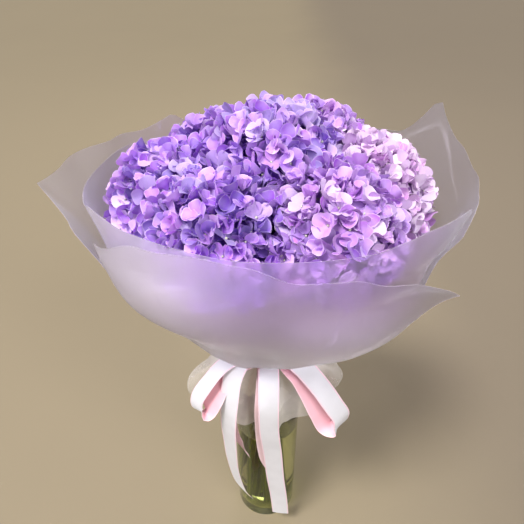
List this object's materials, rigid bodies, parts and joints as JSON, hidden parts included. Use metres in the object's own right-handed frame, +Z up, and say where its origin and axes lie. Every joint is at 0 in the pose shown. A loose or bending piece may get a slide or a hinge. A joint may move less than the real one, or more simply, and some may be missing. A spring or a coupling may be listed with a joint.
{
  "type": "wrapped hydrangea bunch in a vase",
  "caption": "Dome of lilac hydrangea heads on bare stems, wrapped in frosted film, tied with a long-tailed ribbon bow, standing in a clear glass cylinder vase of water.",
  "frame": {"origin": "centre of the vase's foot, on the surface that it stands on", "axes": "+Z up along the vase's axis; -Y towards the front, where the bow is; +X to the right as seen from the front"},
  "size_m": [0.4401, 0.3092, 0.676],
  "materials": {
    "vase_glass": "clear polished glass",
    "water": "clear still water",
    "stem_green": "fresh green stem, satin",
    "petal_violet": "soft matt sepals, deep violet",
    "petal_lavender": "soft matt sepals, lavender",
    "petal_lilac": "soft matt sepals, lilac pink",
    "petal_blush": "soft matt sepals, pale pinkish lilac",
    "frosted_film": "frosted translucent film",
    "clear_film": "thin clear film",
    "pink_ribbon": "pale pink satin",
    "white_ribbon": "white satin with pink edges and a pink back"
  },
  "bodies": {
    "root": {"vase": "vase_glass", "water": "water", "stem_1": "stem_green", "stem_2": "stem_green", "stem_3": "stem_green", "stem_4": "stem_green", "stem_5": "stem_green", "stem_6": "stem_green", "stem_7": "stem_green", "hydrangea_centre": "petal_lavender", "hydrangea_right": "petal_blush", "hydrangea_back_right": "petal_lilac", "hydrangea_back_left": "petal_lavender", "hydrangea_left": "petal_violet", "hydrangea_front_left": "petal_violet", "hydrangea_front_right": "petal_lilac", "clear_collar": "clear_film", "film_front_inner": "frosted_film", "film_back_right": "frosted_film", "film_back_left": "frosted_film", "film_front_outer": "frosted_film", "ribbon_pink": "pink_ribbon", "ribbon_bow": "white_ribbon"}
  },
  "joints": []
}
